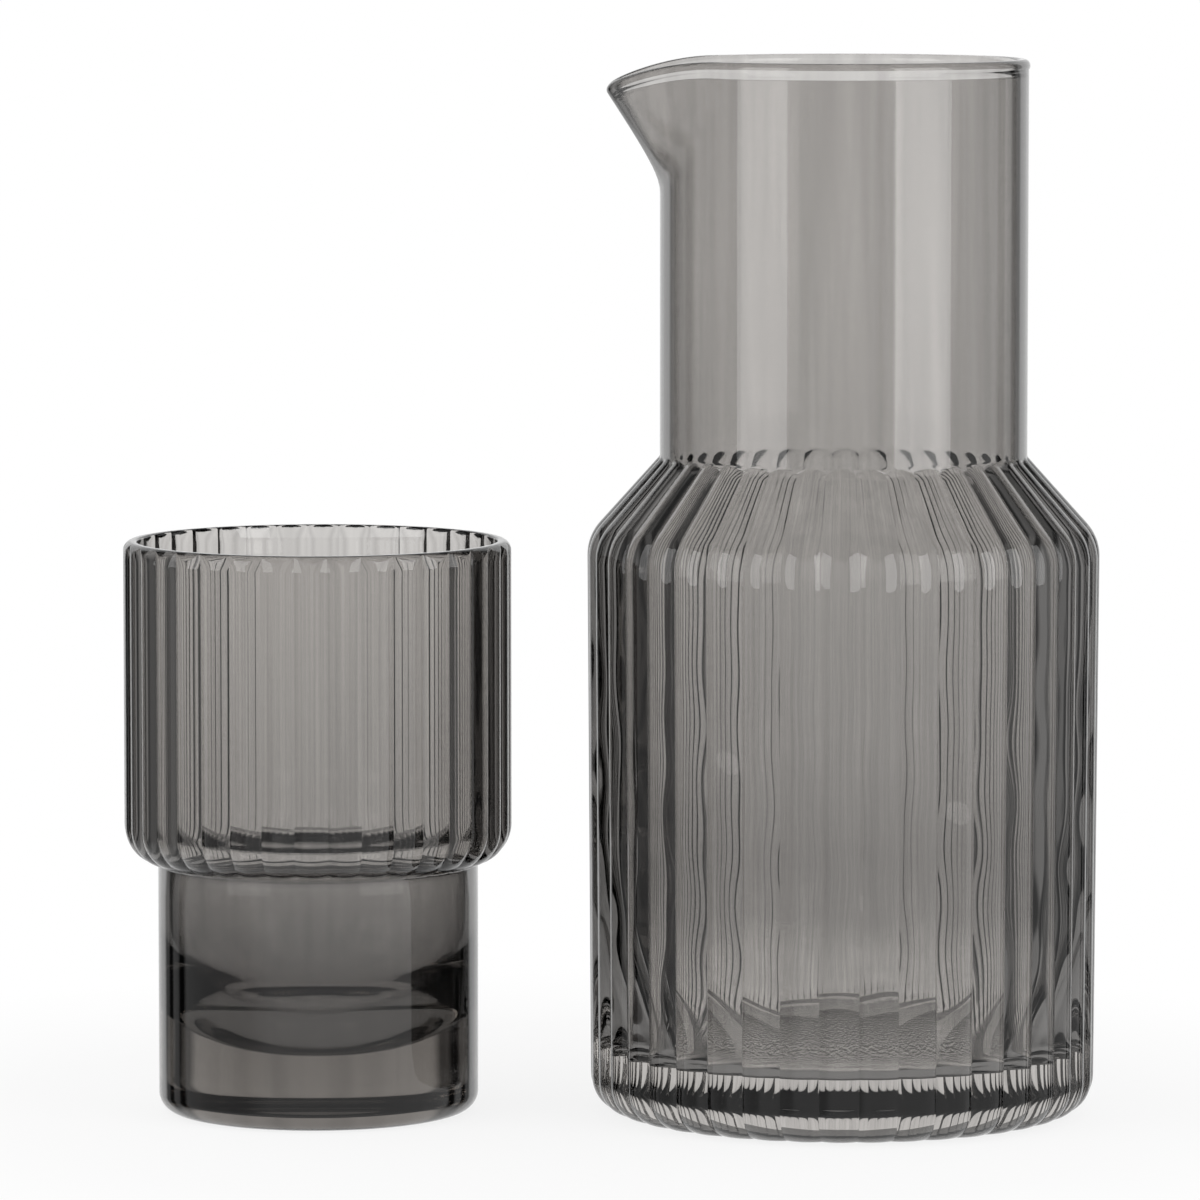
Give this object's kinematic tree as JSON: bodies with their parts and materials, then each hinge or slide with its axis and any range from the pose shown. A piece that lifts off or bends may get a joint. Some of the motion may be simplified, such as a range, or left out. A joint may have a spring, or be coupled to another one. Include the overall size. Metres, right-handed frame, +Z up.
{
  "type": "bedside carafe with tumbler",
  "caption": "Smoke-grey glass carafe with a ribbed body, conical shoulder, plain neck and drawn pouring lip, and a stepped ribbed tumbler whose plain foot fits the neck.",
  "frame": {"origin": "centre of the carafe's foot, on the surface it stands on", "axes": "+Z up along the carafe's axis; -X towards the tip of the pouring lip and the tumbler; +Y away from the viewer of the picture"},
  "size_m": [0.1971, 0.1034, 0.213],
  "materials": {
    "carafe_glass": "gloss",
    "tumbler_glass": "gloss"
  },
  "bodies": {
    "carafe": {"carafe": "carafe_glass"},
    "tumbler": {"tumbler": "tumbler_glass"}
  },
  "joints": [
    {"name": "tumbler_lift", "type": "slide", "parent": "carafe", "child": "tumbler", "axis": [0, 0, 1], "range_m": [0, 0.22]}
  ]
}
